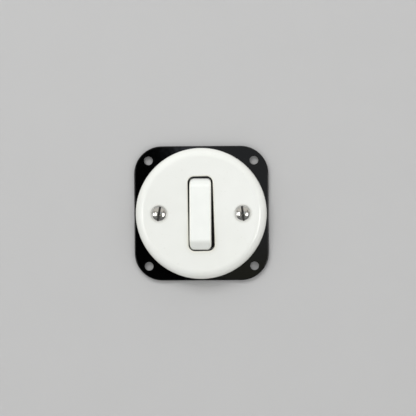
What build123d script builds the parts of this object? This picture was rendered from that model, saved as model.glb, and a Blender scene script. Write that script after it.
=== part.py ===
from build123d import *

import os
from math import cos, radians, sin, sqrt, tan

# A flush wall pushbutton switch: a round porcelain cover with a long rocker key, on a square
# mounting plate, with its insert behind the plate. Sizes are millimetres.
#
# Every piece is drawn lying on its back: x runs to the right, y up the wall and z out of the
# wall towards the hand. stand_up then turns it so that the wall is the XZ plane, the origin is
# the centre of the plate's back and the switch faces -Y.

# Mounting plate
plate_side = 84.3
plate_thickness = 3.0
plate_corner = 17.5
plate_edge_round = 0.7
wall_hole_spacing = 66.2
wall_hole_radius = 2.7

# Support ring and the ears that carry the key's pin
ring_side_gap = 0.5
ring_seat = 2.0
ring_thickness = 1.2
ring_opening_length = 44.0
ring_opening_corner = 4.0
box_hole_spacing = 60.0
box_hole_radius = 2.25
ear_gap = 18.0
ear_thickness = 1.2
ear_width = 6.0
ear_margin = 2.2
ear_corner = 1.5
collar_radius = 4.0
collar_depth = 2.4

# Porcelain cover
cover_radius = 41.0
cover_height = 9.5
cover_wall = 4.0
cover_shoulder = 5.6
cover_foot_round = 0.6
cavity_round = 2.4
boss_radius = 5.0
boss_clearance = 0.2
mouth_width = 15.6
mouth_length = 46.4
mouth_corner = 3.8
mouth_round = 0.95
throat_depth = 1.0
mouth_flare = 10.0

# Cover screws: raised countersunk heads with a slot
cover_screw_spacing = 52.4
cover_screw_radius = 2.5
cover_screw_length = 11.6
head_radius = 4.6
head_land = 0.25
head_dome = 1.2
head_sink = 0.25
head_slot_width = 1.3
head_slot_depth = 1.4
left_slot_turn = -10.0
right_slot_turn = 7.0
sink_clearance = 0.05
sink_round = 0.7
sink_above = 1.0

# Key and how it tilts
key_width = 13.5
key_corner = 3.0
key_edge_round = 1.2
key_face_half = 17.5
key_face_rise = 3.8
key_edge_rise = 1.4
key_skirt_depth = 4.5
key_arc_depth = 2.5
key_bend_round = 5.0
key_wall = 2.0
key_drop = 0.3
key_end_gap = 0.75
key_tilt = 3.5
pivot_depth = 6.5
side_play = 0.8
rest_side_gap = 0.1

# Cradle, pin and the snap legs that join key and cradle
pin_radius = 1.5
pin_proud = 0.4
running_clearance = 0.05
hub_radius = 3.2
hub_half_width = 4.4
sleeve_radius = 2.2
beam_half_width = 3.0
beam_half_length = 17.5
beam_low = 2.0
beam_high = 5.0
nose_inset = 2.5
nose_radius = 1.5
nose_half_width = 2.2
leg_offset = 9.5
leg_width = 4.0
leg_thickness = 1.25
hook_height = 0.9
hook_bite = 0.8
notch_clearance = 0.4
stem_half_length = 6.0
stop_half_width = 2.5
stop_length = 2.8
stop_inset = 0.5

# Plunger, bridge and spring
plunger_radius = 3.6
plunger_bore = 2.2
bore_above_wall = 1.0
collar_flange_radius = 4.8
collar_flange_height = 1.5
neck_radius = 3.0
lip_radius = 3.4
lip_height = 0.8
bridge_length = 17.0
bridge_width = 8.6
bridge_thickness = 0.8
bridge_corner = 2.15
contact_half_spacing = 6.5
tip_radius = 1.6
tip_height = 0.8
tip_round = 0.25
spring_radius = 1.75
spring_wire = 0.45
spring_turns = 7

# Housing and base
housing_radius = 27.0
housing_flat = 42.0
front_wall = 4.5
hub_pocket_depth = 1.4
hub_pocket_margin = 0.75
contact_chamber_depth = 12.5
contact_chamber_width = 25.0
terminal_chamber_width = 29.0
flange_room = 0.9
chamber_step = 2.0
chamber_high = 15.0
moulded_edge_round = 0.8
base_thickness = 5.0
spring_tube_wall = 1.1

# Contact strips, terminals and small screws
strip_inner = 4.6
strip_width = 7.0
strip_thickness = 1.0
strip_shelf_half = 3.0
strip_bend_room = 0.4
terminal_x = 9.0
terminal_y = 8.5
terminal_width = 8.0
terminal_length = 9.0
terminal_height = 9.0
terminal_corner = 0.5
wire_bore_radius = 1.6
wire_bore_depth = 7.5
wire_entry_radius = 3.0
strip_wire_clearance = 0.2
clamp_depth = 5.2
clamp_access_radius = 3.3
screw_radius = 1.5
pan_radius = 2.75
pan_height = 1.8
pan_round_share = 0.4
pan_slot_width = 0.8
pan_slot_depth = 0.9
corner_screw_x = 17.2
corner_screw_y = 14.5
ring_screw_reach = 6.0
base_screw_reach = 8.0
pan_recess = 0.3
strip_screw_y = -6.0
strip_screw_radius = 1.1
strip_pan_radius = 2.1
strip_pan_height = 1.3
strip_screw_reach = 2.5

# Tolerance when edges and corners are picked by place
near = 1e-3

# Places that follow from the sizes
ring_radius = cover_radius - cover_wall - ring_side_gap
plate_opening_radius = ring_radius - ring_seat
nose_offset = beam_half_length - nose_inset
ring_top = plate_thickness + ring_thickness
cover_face = plate_thickness + cover_height
cover_ceiling = cover_face - cover_wall
throat = cover_face - throat_depth
pivot_z = cover_face - pivot_depth
pivot_y = -key_drop
rest_tilt = -key_tilt
key_shift = rest_side_gap - side_play / 2
head_rim = cover_face - head_sink
front_wall_low = plate_thickness - front_wall
base_top = front_wall_low - contact_chamber_depth
base_low = base_top - base_thickness
screw_x = cover_screw_spacing / 2
plunger_y = pivot_y - nose_offset
chamber_low = plunger_y - collar_flange_radius - flange_room

# Key outline around its pivot: the end walls are arcs about the pivot, so the gap to the
# cover's mouth stays the same over the whole travel
key_half_at_throat = mouth_length / 2 - key_end_gap
throat_from_pivot = throat - pivot_z
key_end_radius = sqrt(key_half_at_throat**2 + throat_from_pivot**2)
key_face = cover_face + key_face_rise - pivot_z
key_edge = cover_face + key_edge_rise - pivot_z
key_arc_low = cover_face - key_arc_depth - pivot_z
key_skirt = cover_face - key_skirt_depth - pivot_z

# Plunger heights at rest, from the lowest point of the cradle's nose
lever_swing = nose_offset * sin(radians(key_tilt))
plunger_travel = 2 * lever_swing
nose_low = pivot_z + lever_swing + nose_radius * cos(radians(key_tilt)) - nose_radius
plunger_top = nose_low - running_clearance
flange_top = front_wall_low - running_clearance
shoulder = flange_top - collar_flange_height
bridge_low = shoulder - bridge_thickness
lip_low = bridge_low - lip_height
bore_top = plate_thickness - bore_above_wall
fixed_tip_top = bridge_low - tip_height - plunger_travel - running_clearance
strip_top = fixed_tip_top - tip_height
shelf_top = strip_top - strip_thickness
tube_top = lip_low - plunger_travel - running_clearance
clamp_z = base_top + strip_thickness + clamp_depth
base_screw_seat = base_low + pan_height + pan_recess
strip_screw_x = strip_inner + strip_width / 2

MIDDLE_LOW = (Align.CENTER, Align.CENTER, Align.MIN)


def block(x_range, y_range, z_range):
    """A box between the given limits."""
    sizes = [high - low for low, high in (x_range, y_range, z_range)]
    centre = (sum(x_range) / 2, sum(y_range) / 2, z_range[0])
    return Pos(*centre) * Box(*sizes, align=MIDDLE_LOW)


def post(radius, low, high, x=0.0, y=0.0):
    """A round bar that stands out of the wall."""
    return Pos(x, y, low) * Cylinder(radius, high - low, align=MIDDLE_LOW)


def cross_bar(radius, x_range, y, z):
    """A round bar along x."""
    length = x_range[1] - x_range[0]
    return Pos(x_range[0], y, z) * Rot(0, 90, 0) * Cylinder(radius, length, align=MIDDLE_LOW)


def slab(width, length, corner, low, high):
    """A rounded rectangle raised from low to high."""
    return Pos(0, 0, low) * extrude(RectangleRounded(width, length, corner), high - low)


def turned(points, rounds=()):
    """A solid turned about z from (radius, height) points, with some corners rounded."""
    outline = make_face(Polyline(*points, close=True))
    for corner, radius in rounds:
        vertex = outline.vertices().sort_by_distance(Vector(*corner))[0]
        outline = fillet(vertex, radius)
    return revolve(Plane.XZ * outline, Axis.Z)


def pan_screw(radius, head, height, reach):
    """A slotted pan-head screw that seats at z 0 and points down."""
    screw = post(head, 0, height)
    screw = fillet(screw.edges().sort_by(Axis.Z)[-1], height * pan_round_share)
    screw += post(radius, -reach, 0)
    slot = block((-head, head), (-pan_slot_width / 2, pan_slot_width / 2),
                 (height - pan_slot_depth, height))
    return screw - slot


def mirror_x(shape):
    """The same piece on the other side."""
    return mirror(shape, Plane.YZ)


def at_pivot(shape):
    """Places a piece drawn about the pivot, in the key's rest position."""
    return Pos(key_shift, pivot_y, pivot_z) * Rot(rest_tilt, 0, 0) * shape


def housing_outline(low, high):
    """The insert's round outline with its two flats."""
    flats = block((-housing_flat / 2, housing_flat / 2), (-housing_radius, housing_radius), (low, high))
    return post(housing_radius, low, high) & flats


def corner_places():
    """The four screw places that ring and base share."""
    return [(x, y) for x in (-corner_screw_x, corner_screw_x) for y in (-corner_screw_y, corner_screw_y)]


def make_base_plate():
    plate = slab(plate_side, plate_side, plate_corner, 0, plate_thickness)
    plate = fillet(plate.edges().group_by(Axis.Z)[-1], plate_edge_round)
    plate -= post(plate_opening_radius, 0, plate_thickness)
    for x in (-wall_hole_spacing / 2, wall_hole_spacing / 2):
        for y in (-wall_hole_spacing / 2, wall_hole_spacing / 2):
            plate -= post(wall_hole_radius, 0, plate_thickness, x, y)
    return plate


def make_support_ring():
    low = plate_thickness
    ring = post(ring_radius, low, ring_top)
    for x in (-screw_x, screw_x):
        ring += post(collar_radius, low - collar_depth, low, x)
    ring -= slab(ear_gap, ring_opening_length, ring_opening_corner, low, ring_top)
    for y in (-box_hole_spacing / 2, box_hole_spacing / 2):
        ring -= post(box_hole_radius, low, ring_top, 0, y)
    for x in (-screw_x, screw_x):
        ring -= post(cover_screw_radius + running_clearance, low - collar_depth, ring_top, x)
    for x, y in corner_places():
        ring -= post(screw_radius + running_clearance, low, ring_top, x, y)
    ear_x = (ear_gap / 2, ear_gap / 2 + ear_thickness)
    ear = block(ear_x, (pivot_y - ear_width / 2, pivot_y + ear_width / 2), (low, pivot_z + ear_margin))
    tips = ear.edges().filter_by(Axis.X).group_by(Axis.Z)[-1]
    ear = fillet(tips, ear_corner)
    ring += ear + mirror_x(ear)
    reach = ear_gap / 2 + ear_thickness
    return ring - cross_bar(pin_radius, (-reach, reach), pivot_y, pivot_z)


def make_pivot_pin():
    reach = ear_gap / 2 + ear_thickness + pin_proud
    return cross_bar(pin_radius, (-reach, reach), pivot_y, pivot_z)


def sunk_seat():
    """The countersunk hole that a cover screw sits in, over the origin."""
    mouth = head_radius + head_land + head_sink + sink_clearance
    bottom = cover_screw_radius + sink_clearance
    cone_low = cover_face - (mouth - bottom)
    points = [(0, plate_thickness), (bottom, plate_thickness), (bottom, cone_low), (mouth, cover_face),
              (mouth, cover_face + sink_above), (0, cover_face + sink_above)]
    return turned(points)


def make_front_cover():
    low = plate_thickness
    outer = [(0, low), (cover_radius, low), (cover_radius, cover_face), (0, cover_face)]
    cover = turned(outer, [((cover_radius, cover_face), cover_shoulder), ((cover_radius, low), cover_foot_round)])
    inner_radius = cover_radius - cover_wall
    inner = [(0, low), (inner_radius, low), (inner_radius, cover_ceiling), (0, cover_ceiling)]
    cover -= turned(inner, [((inner_radius, cover_ceiling), cavity_round)])
    for x in (-screw_x, screw_x):
        cover += post(boss_radius, ring_top + boss_clearance, cover_ceiling, x)
        cover -= Pos(x, 0, 0) * sunk_seat()
    cover -= slab(mouth_width, mouth_length, mouth_corner, throat, cover_face)
    spread = (throat - cover_ceiling) * tan(radians(mouth_flare))
    wide = RectangleRounded(mouth_width + 2 * spread, mouth_length + 2 * spread, mouth_corner + spread)
    narrow = RectangleRounded(mouth_width, mouth_length, mouth_corner)
    cover -= loft([Pos(0, 0, cover_ceiling) * wide, Pos(0, 0, throat) * narrow], ruled=True)
    rims = [edge for edge in cover.edges() if abs(edge.center().Z - cover_face) < near]
    mouth = [edge for edge in rims if edge.bounding_box().max.X < mouth_width / 2 + near
             and edge.bounding_box().min.X > -mouth_width / 2 - near]
    cover = fillet(mouth, mouth_round)
    sinks = [edge for edge in cover.edges().filter_by(GeomType.CIRCLE)
             if abs(edge.center().Z - cover_face) < near and abs(abs(edge.arc_center.X) - screw_x) < near]
    return fillet(sinks, sink_round)


def make_cover_screw(turn):
    """A raised countersunk screw; turn is its slot's lean."""
    cone_low = head_rim - head_land - (head_radius - cover_screw_radius)
    land_low = head_rim - head_land
    dome_radius = (head_radius**2 + head_dome**2) / (2 * head_dome)
    screw = turned([(0, head_rim - cover_screw_length), (cover_screw_radius, head_rim - cover_screw_length),
                    (cover_screw_radius, cone_low), (head_radius, land_low), (head_radius, head_rim),
                    (0, head_rim)])
    dome = Pos(0, 0, head_rim + head_dome - dome_radius) * Sphere(dome_radius)
    dome &= post(head_radius, head_rim, head_rim + head_dome)
    screw += dome
    half = head_slot_width / 2
    top = head_rim + head_dome
    slot = block((-half, half), (-head_radius, head_radius), (top - head_slot_depth, top))
    return Rot(0, 0, turn) * (screw - slot)


def key_outline():
    """The key seen from the side, in y and z about the pivot."""
    def reach(height):
        return sqrt(key_end_radius**2 - height**2)

    middle = (key_edge + key_arc_low) / 2
    skirt_y = reach(key_arc_low)
    lines = Polyline((-reach(key_edge), key_edge), (-key_face_half, key_face),
                     (key_face_half, key_face), (reach(key_edge), key_edge))
    for side in (-1, 1):
        lines += ThreePointArc((side * reach(key_edge), key_edge), (side * reach(middle), middle),
                               (side * skirt_y, key_arc_low))
    lines += Polyline((-skirt_y, key_arc_low), (-skirt_y, key_skirt),
                      (skirt_y, key_skirt), (skirt_y, key_arc_low))
    outline = make_face(lines)
    bends = [corner for corner in outline.vertices() if abs(abs(corner.X) - key_face_half) < near]
    return fillet(bends, key_bend_round)


def key_hollow():
    """The space under the key's skin."""
    inner_edge = sqrt(key_end_radius**2 - key_edge**2) - key_wall
    inner_top = key_face - key_wall
    face_half = key_face_half - key_wall / 2
    outline = make_face(Polyline((-inner_edge, key_skirt), (-inner_edge, key_edge - key_wall),
                                 (-face_half, inner_top), (face_half, inner_top),
                                 (inner_edge, key_edge - key_wall), (inner_edge, key_skirt), close=True))
    hollow = extrude(Plane.YZ * outline, key_width / 2 - key_wall, both=True)
    corners = hollow.edges().filter_by(Axis.Z)
    return fillet(corners, key_corner - key_wall)


def snap_legs():
    """Four legs under the key that hook beneath the cradle's beam."""
    inside = beam_half_width + running_clearance
    outside = inside + leg_thickness
    legs = Part()
    for y in (-leg_offset, leg_offset):
        y_range = (y - leg_width / 2, y + leg_width / 2)
        leg = block((inside, outside), y_range, (beam_low - hook_height, key_face - key_wall))
        leg += block((beam_half_width - hook_bite, outside), y_range, (beam_low - hook_height, beam_low))
        legs += leg + mirror_x(leg)
    return legs


def make_rocker_key():
    side = key_width / 2
    key = extrude(Plane.YZ * key_outline(), side, both=True)
    on_side = [edge for edge in key.edges() if abs(abs(edge.center().X) - side) < near]
    upright = [edge for edge in on_side if edge.bounding_box().max.Z < key_edge + near
               and edge.bounding_box().max.Z > key_skirt + near]
    key = fillet(upright, key_corner)
    rim = [edge for edge in key.edges() if edge.bounding_box().min.Z > key_edge - near]
    folds = [edge for edge in rim if edge.bounding_box().size.Y < near
             and edge.center().Z > key_edge + near]
    rim = [edge for edge in rim if edge not in folds]
    key = fillet(rim, key_edge_round)
    key -= key_hollow()
    key += block((-beam_half_width, beam_half_width), (-stem_half_length, stem_half_length),
                 (beam_high, key_face - key_wall))
    key += snap_legs()
    notch = sleeve_radius + notch_clearance
    return key - block((-side, side), (-notch, notch), (key_skirt, notch))


def make_rocker_cradle():
    sleeve_half = (ear_gap - side_play) / 2
    beam = block((-beam_half_width, beam_half_width), (-beam_half_length, beam_half_length),
                 (beam_low, beam_high))
    cradle = beam + block((-beam_half_width, beam_half_width), (-hub_radius, hub_radius), (0, beam_low))
    cradle += cross_bar(hub_radius, (-hub_half_width, hub_half_width), 0, 0)
    cradle += cross_bar(sleeve_radius, (-sleeve_half, sleeve_half), 0, 0)
    nose_x = (-nose_half_width, nose_half_width)
    cradle += block(nose_x, (-nose_offset - nose_radius, -nose_offset + nose_radius), (nose_radius, beam_low))
    cradle += cross_bar(nose_radius, nose_x, -nose_offset, nose_radius)
    return cradle - cross_bar(pin_radius + running_clearance, (-sleeve_half, sleeve_half), 0, 0)


def make_ring_screw():
    return pan_screw(screw_radius, pan_radius, pan_height, ring_thickness + ring_screw_reach)


def make_housing():
    housing = housing_outline(base_top, plate_thickness)
    housing = fillet(housing.edges().group_by(Axis.Z)[-1], moulded_edge_round)
    chamber = block((-contact_chamber_width / 2, contact_chamber_width / 2), (chamber_low, chamber_step),
                    (base_top, front_wall_low))
    chamber += block((-terminal_chamber_width / 2, terminal_chamber_width / 2), (chamber_step, chamber_high),
                     (base_top, front_wall_low))
    housing -= chamber
    pocket = hub_radius + running_clearance + hub_pocket_margin
    housing -= block((-ear_gap / 2, ear_gap / 2), (pivot_y - pocket, pivot_y + pocket),
                     (plate_thickness - hub_pocket_depth, plate_thickness))
    housing -= post(plunger_radius + running_clearance, front_wall_low, plate_thickness, 0, plunger_y)
    for x, y in corner_places():
        housing -= post(screw_radius + running_clearance, plate_thickness - ring_screw_reach,
                        plate_thickness, x, y)
        housing -= post(screw_radius + running_clearance, base_top, base_top + base_screw_reach, x, y)
    reach = housing_flat / 2
    housing -= cross_bar(clamp_access_radius, (-reach, reach), terminal_y, clamp_z)
    stop_top = (pivot_z + beam_low * cos(radians(key_tilt)) - beam_half_length * sin(radians(key_tilt))
                - running_clearance)
    stop_end = pivot_y + beam_half_length - stop_inset
    return housing + block((-stop_half_width, stop_half_width), (stop_end - stop_length, stop_end),
                           (plate_thickness, stop_top))


def make_base():
    base = housing_outline(base_low, base_top)
    base = fillet(base.edges().group_by(Axis.Z)[0], moulded_edge_round)
    shelf_y = (plunger_y - strip_shelf_half, plunger_y + strip_shelf_half - strip_bend_room)
    pillar = block((strip_inner, strip_inner + strip_width), shelf_y, (base_top, shelf_top))
    base += pillar + mirror_x(pillar)
    base += post(plunger_bore + spring_tube_wall, base_top, tube_top, 0, plunger_y)
    base -= post(plunger_bore, base_top, tube_top, 0, plunger_y)
    for x in (-terminal_x, terminal_x):
        base -= post(wire_entry_radius, base_low, base_top, x, terminal_y)
    for x, y in corner_places():
        base -= post(screw_radius + running_clearance, base_low, base_top, x, y)
        base -= post(pan_radius + pan_recess, base_low, base_screw_seat, x, y)
    for x in (-strip_screw_x, strip_screw_x):
        base -= post(strip_screw_radius + running_clearance, base_top - strip_screw_reach, base_top,
                     x, strip_screw_y)
    return base


def make_base_screw():
    reach = base_top - base_screw_seat + base_screw_reach
    return Rot(180, 0, 0) * pan_screw(screw_radius, pan_radius, pan_height, reach)


def make_plunger():
    outline = [(plunger_bore, lip_low), (lip_radius, lip_low), (lip_radius, bridge_low),
               (neck_radius, bridge_low), (neck_radius, shoulder), (collar_flange_radius, shoulder),
               (collar_flange_radius, flange_top), (plunger_radius, flange_top),
               (plunger_radius, plunger_top), (0, plunger_top), (0, bore_top), (plunger_bore, bore_top)]
    return Pos(0, plunger_y, 0) * turned(outline)


def make_contact_bridge():
    bridge = slab(bridge_length, bridge_width, bridge_corner, bridge_low, shoulder)
    return Pos(0, plunger_y, 0) * (bridge - post(neck_radius + running_clearance, bridge_low, shoulder))


def contact_tip(low, high, domed):
    """A round silver tip; domed is the side that touches."""
    tip = post(tip_radius, low, high)
    return fillet(tip.edges().group_by(Axis.Z)[domed].filter_by(GeomType.CIRCLE), tip_round)


def both_contacts(tip):
    """One tip on each side of the plunger."""
    return Compound([Pos(x, plunger_y, 0) * tip for x in (-contact_half_spacing, contact_half_spacing)])


def make_return_spring():
    low = base_top + spring_wire / 2
    height = bore_top - spring_wire / 2 - low
    path = Helix(height / spring_turns, height, spring_radius)
    wire = Plane(origin=path @ 0, z_dir=path % 0) * Circle(spring_wire / 2)
    return Pos(0, plunger_y, low) * sweep(wire, path=path, is_frenet=True)


def make_contact_strip():
    shelf_start = plunger_y - strip_shelf_half
    leg = plunger_y + strip_shelf_half
    end = terminal_y + terminal_length / 2
    foot_top = base_top + strip_thickness
    outline = make_face(Polyline((shelf_start, shelf_top), (shelf_start, strip_top),
                                 (leg + strip_thickness, strip_top), (leg + strip_thickness, foot_top),
                                 (end, foot_top), (end, base_top), (leg, base_top), (leg, shelf_top), close=True))
    outside = [corner for corner in outline.vertices()
               if (Vector(corner) - Vector(leg + strip_thickness, strip_top)).length < near
               or (Vector(corner) - Vector(leg, base_top)).length < near]
    outline = fillet(outside, strip_thickness)
    strip = Pos(strip_inner, 0, 0) * extrude(Plane.YZ * outline, strip_width)
    strip -= post(wire_bore_radius + strip_wire_clearance, base_top, foot_top, terminal_x, terminal_y)
    return strip - post(strip_screw_radius + running_clearance, base_top, foot_top, strip_screw_x, strip_screw_y)


def make_terminal_block():
    low = base_top + strip_thickness
    brass = block((terminal_x - terminal_width / 2, terminal_x + terminal_width / 2),
                  (terminal_y - terminal_length / 2, terminal_y + terminal_length / 2),
                  (low, low + terminal_height))
    brass = fillet(brass.edges().filter_by(Axis.Z), terminal_corner)
    brass -= post(wire_bore_radius, low, low + wire_bore_depth, terminal_x, terminal_y)
    return brass - cross_bar(screw_radius, (terminal_x, terminal_x + terminal_width / 2), terminal_y, clamp_z)


def make_terminal_screw():
    reach = terminal_width / 2 - wire_bore_radius
    screw = pan_screw(screw_radius - running_clearance, pan_radius, pan_height, reach)
    return Pos(terminal_x + terminal_width / 2, terminal_y, clamp_z) * Rot(0, 90, 0) * screw


def make_strip_screw():
    screw = pan_screw(strip_screw_radius, strip_pan_radius, strip_pan_height,
                      strip_thickness + strip_screw_reach)
    return Pos(strip_screw_x, strip_screw_y, base_top + strip_thickness) * screw


def pair(shape):
    """A piece and its mirror image as separate solids."""
    return Compound([shape, mirror_x(shape)])


def at_corners(screw, height):
    """A screw at each of the four shared places."""
    return Compound([Pos(x, y, height) * screw for x, y in corner_places()])


def build():
    """Every piece by name, still lying on its back."""
    strip = make_contact_strip()
    terminal = make_terminal_block()
    return {
        "base_plate": make_base_plate(),
        "front_cover": make_front_cover(),
        "cover_screws": Compound([Pos(-screw_x, 0, 0) * make_cover_screw(left_slot_turn),
                                  Pos(screw_x, 0, 0) * make_cover_screw(right_slot_turn)]),
        "rocker_key": at_pivot(make_rocker_key()),
        "rocker_cradle": at_pivot(make_rocker_cradle()),
        "pivot_pin": make_pivot_pin(),
        "support_ring": make_support_ring(),
        "ring_screws": at_corners(make_ring_screw(), ring_top),
        "insert_housing": make_housing(),
        "insert_base": make_base(),
        "base_screws": at_corners(make_base_screw(), base_screw_seat),
        "plunger": make_plunger(),
        "contact_bridge": make_contact_bridge(),
        "bridge_tips": both_contacts(contact_tip(bridge_low - tip_height, bridge_low, 0)),
        "return_spring": make_return_spring(),
        "contact_strip_right": strip,
        "contact_strip_left": mirror_x(strip),
        "fixed_tips": both_contacts(contact_tip(strip_top, fixed_tip_top, -1)),
        "terminal_block_right": terminal,
        "terminal_block_left": mirror_x(terminal),
        "terminal_screws": pair(make_terminal_screw()),
        "strip_screws": pair(make_strip_screw()),
    }


stand_up = Rot(90, 0, 0)
os.makedirs("parts", exist_ok=True)
for name, shape in build().items():
    export_step(stand_up * shape, f"parts/{name}.step")
    print(name, round(shape.volume, 1))
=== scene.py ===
# %% [markdown]
# # A porcelain push switch on a black plate
# This notebook dresses a switch whose mechanism already exists as a CAD model. The CAD pieces
# arrive as a fixed frame: they stay where they are, and new pieces are made to sit on them.
# The wall is the plane y = 0, the hand is on the side of negative y, and z points up the wall.
# All lengths in Blender are metres, so a millimetre gets a name of its own.

from math import atan2, cos, degrees, pi, radians, sin, sqrt, tan

import bpy
from mathutils import Matrix, Vector


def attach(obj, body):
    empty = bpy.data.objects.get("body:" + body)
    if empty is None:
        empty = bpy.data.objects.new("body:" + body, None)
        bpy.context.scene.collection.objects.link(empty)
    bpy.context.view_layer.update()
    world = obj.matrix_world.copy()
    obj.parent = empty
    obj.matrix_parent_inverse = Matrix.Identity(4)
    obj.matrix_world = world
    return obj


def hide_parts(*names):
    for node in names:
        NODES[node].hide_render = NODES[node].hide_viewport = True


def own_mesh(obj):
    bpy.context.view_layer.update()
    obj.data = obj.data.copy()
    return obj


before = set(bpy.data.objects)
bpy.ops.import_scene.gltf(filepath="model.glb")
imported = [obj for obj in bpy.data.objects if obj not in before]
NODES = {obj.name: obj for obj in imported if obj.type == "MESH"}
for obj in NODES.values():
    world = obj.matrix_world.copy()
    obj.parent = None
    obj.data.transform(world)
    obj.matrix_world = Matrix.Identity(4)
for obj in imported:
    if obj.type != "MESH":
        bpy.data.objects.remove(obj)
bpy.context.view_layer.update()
MM = 0.001

# %% [markdown]
# ## Working on a bench
# An operator works on whatever is selected, so each step first says what that is. The pieces
# are made lying on their backs, with z out of the wall, as on a bench, because most of them
# are turned about that axis. When a piece is finished it is stood up against the wall, and
# its place goes into its mesh, so that the object itself stays at the origin.
#
# Points count as being on a line or a surface when they are nearer than NEAR, in millimetres.
# A face is level or faces a way when its normal has more than LEVEL or FACING of that way.

# %% Helpers for selecting
def deselect_all():
    if bpy.context.object and bpy.context.object.mode != "OBJECT":
        bpy.ops.object.mode_set(mode="OBJECT")
    bpy.ops.object.select_all(action="DESELECT")


def take(piece):
    """Makes one object the only one that is selected and active."""
    deselect_all()
    piece.select_set(True)
    bpy.context.view_layer.objects.active = piece


def pick(piece, kind, test, top=None):
    """Selects faces (test of middle and normal) or edges (test of both ends), in edit mode.
    With top, a test of faces, only edges between a top face and another face are taken."""
    take(piece)
    mesh = piece.data
    beside = {}
    for face in mesh.polygons if top else ():
        for pair in face.edge_keys:
            beside.setdefault(pair, set()).add(top(face.center / MM, face.normal))
    for group in (mesh.vertices, mesh.edges, mesh.polygons):
        group.foreach_set("select", [False] * len(group))
    if kind == "FACE":
        for face in mesh.polygons:
            face.select = test(face.center / MM, face.normal)
    else:
        for edge in mesh.edges:
            first, second = [mesh.vertices[i].co / MM for i in edge.vertices]
            on_rim = not top or len(beside[edge.key]) == 2
            edge.select = on_rim and test(first, second)
    bpy.context.tool_settings.mesh_select_mode = (False, kind == "EDGE", kind == "FACE")
    bpy.ops.object.mode_set(mode="EDIT")


def both(test):
    """Turns a test of one end of an edge into a test of both."""
    return lambda first, second: test(first) and test(second)


def upright(first, second):
    return (first.xy - second.xy).length < NEAR


NEAR = 0.02
LEVEL = 0.999
FACING = 0.9
deselect_all()
print("nothing is selected")

# %% [markdown]
# ## Turning on a lathe
# A turned piece starts as a flat disc. The disc is pulled up and made wider or narrower from
# one point of its outline to the next, and each pull leaves a ring of wall behind it. Round
# corners of the outline are worked out as points on an arc first.

# %% Lathe
def arc(centre, radius, start, stop, steps):
    """Points of a round corner, with angles in degrees from the outward direction."""
    turns = [radians(start + (stop - start) * i / steps) for i in range(steps + 1)]
    return [(centre[0] + radius * cos(t), centre[1] + radius * sin(t)) for t in turns]


def lathe(name, outline, sides):
    """Pulls a disc through (radius, height) points in millimetres."""
    deselect_all()
    radius, height = outline[0]
    bpy.ops.mesh.primitive_circle_add(vertices=sides, radius=radius * MM, fill_type="NGON",
                                      enter_editmode=True, location=(0, 0, 0))
    bpy.ops.transform.translate(value=(0, 0, height * MM))
    for next_radius, next_height in outline[1:]:
        bpy.ops.mesh.extrude_region_move(
            TRANSFORM_OT_translate={"value": (0, 0, (next_height - height) * MM)})
        share = next_radius / radius
        bpy.ops.transform.resize(value=(share, share, 1), center_override=(0, 0, next_height * MM))
        radius, height = next_radius, next_height
    bpy.ops.mesh.select_all(action="SELECT")
    bpy.ops.mesh.normals_make_consistent(inside=False)
    bpy.ops.object.mode_set(mode="OBJECT")
    piece = bpy.context.object
    piece.name = piece.data.name = name
    return piece


print("a quarter arc has", len(arc((0, 0), 1, 0, 90, 6)), "points")

# %% [markdown]
# ## Cutting and finishing
# Holes are cut with a second solid, the cutter, and a Boolean modifier, which is then applied.
# A cutter stands out of what it cuts, and a piece that is added reaches into the other one,
# because surfaces that only touch give a bad cut. A moulded or fired piece has no sharp edges,
# so each cut edge gets a bevel. The last step shades curved walls smoothly and weighs the
# normals by face size, so that large flat faces stay flat in reflections.

# %% Blocks, cuts, bevels and the last step
BEYOND = 1.0
OVERLAP = 0.5
TINY = 0.0005


def block(name, low, high):
    """A box between two corners in millimetres."""
    deselect_all()
    middle = [(a + b) / 2 * MM for a, b in zip(low, high)]
    bpy.ops.mesh.primitive_cube_add(size=1, location=(0, 0, 0), enter_editmode=True)
    bpy.ops.transform.resize(value=[(b - a) * MM for a, b in zip(low, high)])
    bpy.ops.transform.translate(value=middle)
    bpy.ops.object.mode_set(mode="OBJECT")
    piece = bpy.context.object
    piece.name = piece.data.name = name
    return piece


def bevel(piece, test, width, steps, top=None):
    """Rounds the edges that pass the test; width is how far the round reaches, in millimetres."""
    pick(piece, "EDGE", test, top)
    bpy.ops.mesh.bevel(offset=width * MM, segments=steps, profile=0.5, clamp_overlap=False)
    bpy.ops.object.mode_set(mode="OBJECT")


def combine(piece, other, operation="DIFFERENCE"):
    """Cuts another solid out of a piece, or adds it, and removes that solid."""
    take(piece)
    modifier = piece.modifiers.new("cut", "BOOLEAN")
    modifier.operation, modifier.solver, modifier.object = operation, "EXACT", other
    bpy.ops.object.modifier_apply(modifier=modifier.name)
    bpy.data.objects.remove(other)


def merge(piece, distance):
    """Joins points that lie closer together than a distance in millimetres."""
    take(piece)
    bpy.ops.object.mode_set(mode="EDIT")
    bpy.ops.mesh.select_all(action="SELECT")
    bpy.ops.mesh.remove_doubles(threshold=distance * MM)
    bpy.ops.object.mode_set(mode="OBJECT")


def place(piece, tilt=0.0, turn=0.0, at=(0, 0, 0), stand=True):
    """Tilts and turns a piece, moves it to its place and stands it up, all in its mesh."""
    take(piece)
    piece.rotation_euler = (radians(tilt), 0, radians(turn))
    piece.location = [v * MM for v in at]
    bpy.ops.object.transform_apply(location=True, rotation=True, scale=True)
    if stand:
        piece.rotation_euler = (pi / 2, 0, 0)
        bpy.ops.object.transform_apply(location=True, rotation=True, scale=True)


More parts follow.
